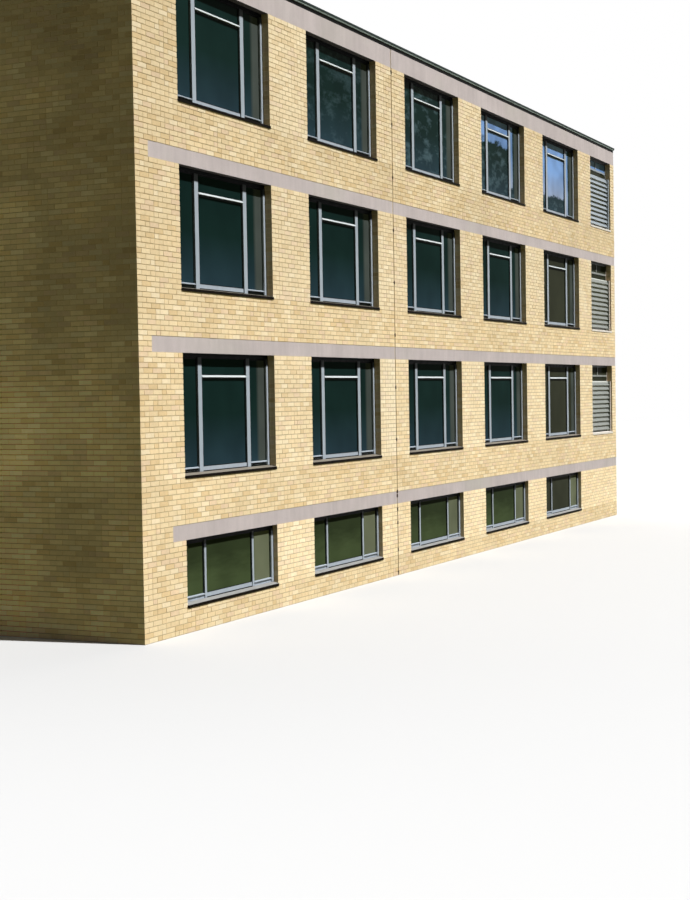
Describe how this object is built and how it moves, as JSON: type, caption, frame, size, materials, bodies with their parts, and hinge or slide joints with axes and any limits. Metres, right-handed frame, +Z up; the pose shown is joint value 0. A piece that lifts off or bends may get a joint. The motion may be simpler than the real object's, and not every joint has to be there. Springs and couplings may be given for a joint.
{
  "type": "school building",
  "caption": "Hollow brick school block with a basement and upper storeys, wide windows, concrete bands, a louvred end bay and a flat roof.",
  "frame": {"origin": "ground level under the middle of the block", "axes": "+Z up, front long side faces -Y, plain gable with the bands' brick end at -X"},
  "size_m": [25.935, 12.31, 11.015],
  "materials": {
    "brick": "matte",
    "band_concrete": "matte",
    "slab_concrete": "matte",
    "window_frame": "satin",
    "window_glass": "gloss",
    "sill_metal": "satin",
    "louvre_metal": "satin",
    "joint_seal": "matte",
    "roof_sheet": "matte",
    "edge_strip": "satin",
    "dark_flashing": "satin"
  },
  "bodies": {
    "root": {"west_wall": "brick", "east_wall": "brick", "front_wall_basement": "brick", "front_frames_basement": "window_frame", "front_glass_basement": "window_glass", "front_wall_ground": "brick", "front_frames_ground": "window_frame", "front_glass_ground": "window_glass", "front_wall_first": "brick", "front_frames_first": "window_frame", "front_glass_first": "window_glass", "front_wall_second": "brick", "front_frames_second": "window_frame", "front_glass_second": "window_glass", "front_sills": "sill_metal", "front_louvres": "louvre_metal", "front_joint_strip": "joint_seal", "rear_wall_basement": "brick", "rear_frames_basement": "window_frame", "rear_glass_basement": "window_glass", "rear_wall_ground": "brick", "rear_frames_ground": "window_frame", "rear_glass_ground": "window_glass", "rear_wall_first": "brick", "rear_frames_first": "window_frame", "rear_glass_first": "window_glass", "rear_wall_second": "brick", "rear_frames_second": "window_frame", "rear_glass_second": "window_glass", "rear_sills": "sill_metal", "rear_louvres": "louvre_metal", "rear_joint_strip": "joint_seal", "ground_band": "band_concrete", "first_band": "band_concrete", "second_band": "band_concrete", "roof_beam": "band_concrete", "basement_floor": "slab_concrete", "ground_floor": "slab_concrete", "first_floor": "slab_concrete", "second_floor": "slab_concrete", "roof_slab": "slab_concrete", "roof_covering": "roof_sheet", "roof_edge_strip": "edge_strip", "roof_flashing": "dark_flashing"}
  },
  "joints": []
}
